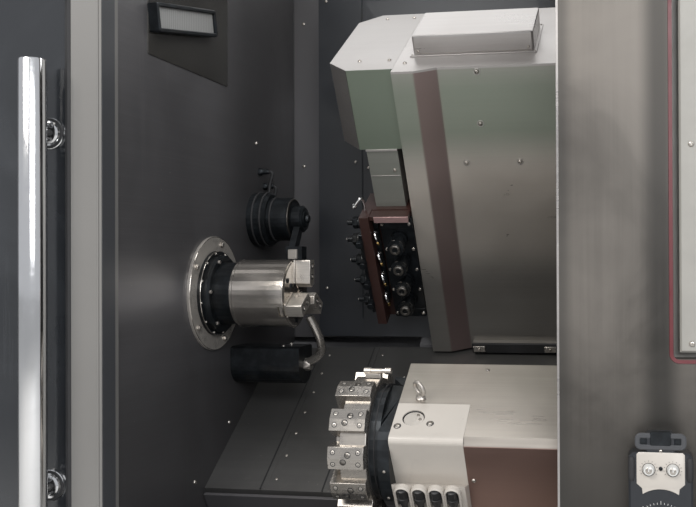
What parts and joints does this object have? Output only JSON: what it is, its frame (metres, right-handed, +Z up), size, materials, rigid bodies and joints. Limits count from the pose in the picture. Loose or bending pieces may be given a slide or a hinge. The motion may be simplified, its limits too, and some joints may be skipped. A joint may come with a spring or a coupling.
{
  "type": "cnc turning lathe",
  "caption": "Enclosed slant-bed turning lathe with a chuck, a gang of live tools on an upper head, an indexing turret below and a sliding door parked open.",
  "frame": {"origin": "centre of the footprint on the floor", "axes": "+X along the spindle away from the headstock, +Y to the back, +Z up"},
  "size_m": [2.34, 1.802, 1.95],
  "materials": {
    "grey_paint": "satin powder coat",
    "dark_paint": "satin dark blue-black paint",
    "white_paint": "satin off-white paint",
    "maroon_paint": "satin dark maroon paint",
    "stainless": "brushed stainless sheet",
    "dark_stainless": "dark brushed stainless sheet",
    "cast_iron": "machined and painted casting",
    "bright_steel": "ground steel",
    "black_steel": "black oxide",
    "chrome": "polished",
    "black_rubber": "matt",
    "glass": "tinted safety glass",
    "red_plastic": "gloss",
    "light_plastic": "satin"
  },
  "bodies": {
    "machine": {"bed_casting": "cast_iron", "leveling_foot_1": "black_steel", "leveling_foot_2": "black_steel", "leveling_foot_3": "black_steel", "leveling_foot_4": "black_steel", "left_cover": "grey_paint", "right_cover": "grey_paint", "rear_cover": "grey_paint", "roof_panel": "grey_paint", "front_frame": "grey_paint", "front_right_panel": "stainless", "headstock_bulkhead": "dark_stainless", "right_inner_wall": "dark_stainless", "fixed_way_cover": "dark_stainless", "headstock_housing": "cast_iron", "spindle_cartridge": "bright_steel", "spindle_flange": "stainless", "labyrinth_ring": "black_steel", "spindle_motor": "dark_paint", "drive_belt": "black_rubber", "tool_setter_hub": "black_steel", "coolant_block": "black_steel", "control_panel": "light_plastic", "pendant_body": "light_plastic"},
    "door": {"door_frame": "grey_paint", "door_window": "glass", "door_handle": "chrome"},
    "spindle": {"spindle_shaft": "black_steel", "spindle_pulley": "cast_iron", "chuck_body": "bright_steel"},
    "jaw_1": {"chuck_jaw_1": "bright_steel"},
    "jaw_2": {"chuck_jaw_2": "bright_steel"},
    "jaw_3": {"chuck_jaw_3": "bright_steel"},
    "motor_pulley": {"motor_pulley": "cast_iron"},
    "tool_setter_arm": {"tool_setter_arm": "black_steel"},
    "middle_cover": {"middle_way_cover": "dark_stainless"},
    "upper_carriage": {"upper_saddle": "cast_iron", "carriage_way_cover": "dark_stainless", "back_cover": "dark_paint"},
    "upper_head": {"upper_head": "stainless", "head_hood": "stainless", "head_top_cover": "stainless"},
    "gang": {"gang_slide": "maroon_paint", "fixed_tool_bar": "black_steel", "coolant_nozzles": "bright_steel"},
    "live_tool_1": {"live_tool_1": "black_steel"},
    "live_tool_2": {"live_tool_2": "black_steel"},
    "live_tool_3": {"live_tool_3": "black_steel"},
    "live_tool_4": {"live_tool_4": "black_steel"},
    "lower_carriage": {"lower_saddle": "cast_iron"},
    "lower_slide": {"turret_housing": "white_paint", "turret_cover": "stainless", "turret_ring": "black_steel", "hose_manifold": "white_paint", "eyebolt": "bright_steel"},
    "turret": {"turret_disc": "bright_steel"},
    "stop_button": {"stop_button": "red_plastic"},
    "handwheel": {"pendant_handwheel": "black_steel"},
    "left_knob": {"pendant_left_knob": "black_steel"},
    "right_knob": {"pendant_right_knob": "black_steel"}
  },
  "joints": [
    {"name": "door_slide", "type": "slide", "parent": "machine", "child": "door", "axis": [1, 0, 0], "range_m": [0, 0.767]},
    {"name": "spindle_turn", "type": "hinge", "parent": "machine", "child": "spindle", "pos_m": [-0.156, -0.418, 1.1], "axis": [1, 0, 0], "continuous": true},
    {"name": "motor_turn", "type": "hinge", "parent": "machine", "child": "motor_pulley", "pos_m": [-0.9, 0.04494, 1.09671], "axis": [1, 0, 0], "continuous": true},
    {"name": "jaw_1_slide", "type": "slide", "parent": "spindle", "child": "jaw_1", "axis": [0, 0, 1], "range_m": [-0.004, 0.005]},
    {"name": "jaw_2_slide", "type": "slide", "parent": "spindle", "child": "jaw_2", "axis": [0, -0.866, -0.5], "range_m": [-0.004, 0.005]},
    {"name": "jaw_3_slide", "type": "slide", "parent": "spindle", "child": "jaw_3", "axis": [0, 0.866, -0.5], "range_m": [-0.004, 0.005]},
    {"name": "tool_setter_swing", "type": "hinge", "parent": "machine", "child": "tool_setter_arm", "pos_m": [-0.24, -0.2, 1.258], "axis": [1, 0, 0], "range_deg": [-90, 20]},
    {"name": "upper_saddle_slide", "type": "slide", "parent": "machine", "child": "upper_carriage", "axis": [1, 0, 0], "range_m": [-0.1, 0.1]},
    {"name": "middle_cover_slide", "type": "slide", "parent": "machine", "child": "middle_cover", "axis": [1, 0, 0], "range_m": [-0.05, 0.05]},
    {"name": "upper_head_slide", "type": "slide", "parent": "upper_carriage", "child": "upper_head", "axis": [0, -0.8387, -0.5446], "range_m": [0, 0.2]},
    {"name": "gang_vertical_slide", "type": "slide", "parent": "upper_head", "child": "gang", "axis": [0, -0.5446, 0.8387], "range_m": [-0.06, 0]},
    {"name": "live_tool_1_turn", "type": "hinge", "parent": "gang", "child": "live_tool_1", "pos_m": [0.022, -0.27659, 1.21543], "axis": [0, -0.8387, -0.5446], "continuous": true},
    {"name": "live_tool_2_turn", "type": "hinge", "parent": "gang", "child": "live_tool_2", "pos_m": [0.022, -0.24826, 1.17179], "axis": [0, -0.8387, -0.5446], "continuous": true},
    {"name": "live_tool_3_turn", "type": "hinge", "parent": "gang", "child": "live_tool_3", "pos_m": [0.022, -0.21992, 1.12816], "axis": [0, -0.8387, -0.5446], "continuous": true},
    {"name": "live_tool_4_turn", "type": "hinge", "parent": "gang", "child": "live_tool_4", "pos_m": [0.022, -0.19158, 1.08453], "axis": [0, -0.8387, -0.5446], "continuous": true},
    {"name": "lower_saddle_slide", "type": "slide", "parent": "machine", "child": "lower_carriage", "axis": [1, 0, 0], "range_m": [-0.1, 0.15]},
    {"name": "lower_cross_slide", "type": "slide", "parent": "lower_carriage", "child": "lower_slide", "axis": [0, 0.8387, 0.5446], "range_m": [-0.02, 0.08]},
    {"name": "turret_index", "type": "hinge", "parent": "lower_slide", "child": "turret", "pos_m": [0.011, -0.59918, 0.84737], "axis": [1, 0, 0], "continuous": true},
    {"name": "stop_button_press", "type": "slide", "parent": "machine", "child": "stop_button", "axis": [0, 1, 0], "range_m": [0, 0.005], "stiffness_N_per_m": 600},
    {"name": "handwheel_turn", "type": "hinge", "parent": "machine", "child": "handwheel", "pos_m": [0.547, -0.836, 0.777], "axis": [0, -1, 0], "continuous": true},
    {"name": "left_knob_turn", "type": "hinge", "parent": "machine", "child": "left_knob", "pos_m": [0.53, -0.836, 0.8647], "axis": [0, -1, 0], "range_deg": [-60, 60]},
    {"name": "right_knob_turn", "type": "hinge", "parent": "machine", "child": "right_knob", "pos_m": [0.564, -0.836, 0.8647], "axis": [0, -1, 0], "range_deg": [-60, 60]}
  ],
  "couplings": [
    {"joint": "motor_turn", "follows": "spindle_turn", "ratio": 1.4},
    {"joint": "jaw_2_slide", "follows": "jaw_1_slide", "ratio": 1},
    {"joint": "jaw_3_slide", "follows": "jaw_1_slide", "ratio": 1},
    {"joint": "middle_cover_slide", "follows": "upper_saddle_slide", "ratio": 0.5},
    {"joint": "live_tool_2_turn", "follows": "live_tool_1_turn", "ratio": -1},
    {"joint": "live_tool_3_turn", "follows": "live_tool_1_turn", "ratio": 1},
    {"joint": "live_tool_4_turn", "follows": "live_tool_1_turn", "ratio": -1}
  ]
}
